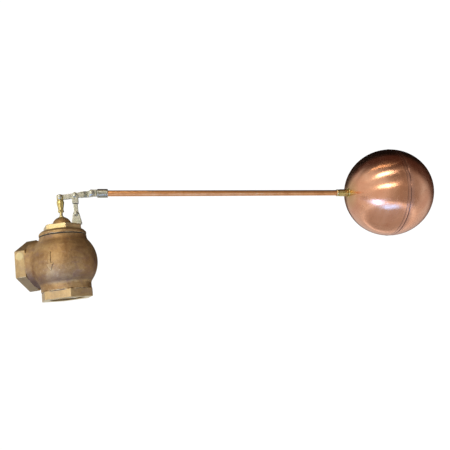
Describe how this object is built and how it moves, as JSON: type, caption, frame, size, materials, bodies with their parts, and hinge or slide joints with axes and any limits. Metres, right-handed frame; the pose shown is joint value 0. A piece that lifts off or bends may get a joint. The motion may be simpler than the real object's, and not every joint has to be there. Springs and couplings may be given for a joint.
{
  "type": "float valve",
  "caption": "Bronze angle float valve: threaded ports, a screwed bonnet, a compound lever that slides the stem, and a hollow copper ball on a long rod.",
  "frame": {"origin": "centre of the inlet port's end face, where the supply pipe holds the valve", "axes": "+Z along the stem, upwards; +X along the lever and the rod, towards the ball; the inlet points 156 degrees round from +X, seen from above"},
  "size_m": [0.9394, 0.2032, 0.2651],
  "materials": {
    "cast_bronze": "sand cast, tumbled",
    "machined_bronze": "machined",
    "turned_brass": "turned",
    "zinc_plate": "zinc plated",
    "polished_copper": "polished",
    "copper_tube": "drawn",
    "stainless_wire": "drawn",
    "black_rubber": "moulded",
    "gasket_fibre": "pressed sheet"
  },
  "bodies": {
    "valve": {"valve_body": "cast_bronze", "seat_ring": "turned_brass", "bonnet_gasket": "gasket_fibre", "bonnet": "cast_bronze", "stem_guide": "turned_brass", "stem_o_ring": "black_rubber", "fulcrum_bracket": "zinc_plate"},
    "stem_assembly": {"stem": "turned_brass", "disc_holder": "machined_bronze", "seat_disc": "black_rubber", "disc_washer": "machined_bronze", "disc_nut": "turned_brass", "stem_lock_nut": "turned_brass", "stem_coupling": "turned_brass", "coupling_pin": "zinc_plate", "coupling_cotter": "stainless_wire"},
    "link_assembly": {"link": "zinc_plate", "link_pin": "zinc_plate", "link_cotter": "stainless_wire", "fulcrum_pin": "zinc_plate", "fulcrum_cotter": "stainless_wire"},
    "lever_assembly": {"lever": "zinc_plate", "holder_bolt": "zinc_plate", "holder_washer": "zinc_plate", "holder_nut": "zinc_plate"},
    "float_arm": {"rod_holder": "zinc_plate", "float_rod": "copper_tube", "float_spud": "turned_brass", "float_half_near": "polished_copper", "float_half_far": "polished_copper"}
  },
  "joints": [
    {"name": "stem_slide", "type": "slide", "parent": "valve", "child": "stem_assembly", "axis": [0, 0, -1], "range_m": [0, 0.0076]},
    {"name": "link_rock", "type": "hinge", "parent": "valve", "child": "link_assembly", "pos_m": [0.10573, -0.03372, 0.0941], "axis": [0, -1, 0], "range_deg": [0, 1.95]},
    {"name": "lever_swing", "type": "hinge", "parent": "link_assembly", "child": "lever_assembly", "pos_m": [0.10573, -0.03372, 0.1341], "axis": [0, -1, 0], "range_deg": [0, 12.6]},
    {"name": "holder_tilt", "type": "hinge", "parent": "lever_assembly", "child": "float_arm", "pos_m": [0.14003, -0.03372, 0.1365], "axis": [0, -1, 0], "range_deg": [-45, 45]}
  ],
  "couplings": [
    {"joint": "stem_slide", "follows": "lever_swing", "m_per_rad": 0.0341},
    {"joint": "link_rock", "follows": "lever_swing", "ratio": 0.15}
  ]
}
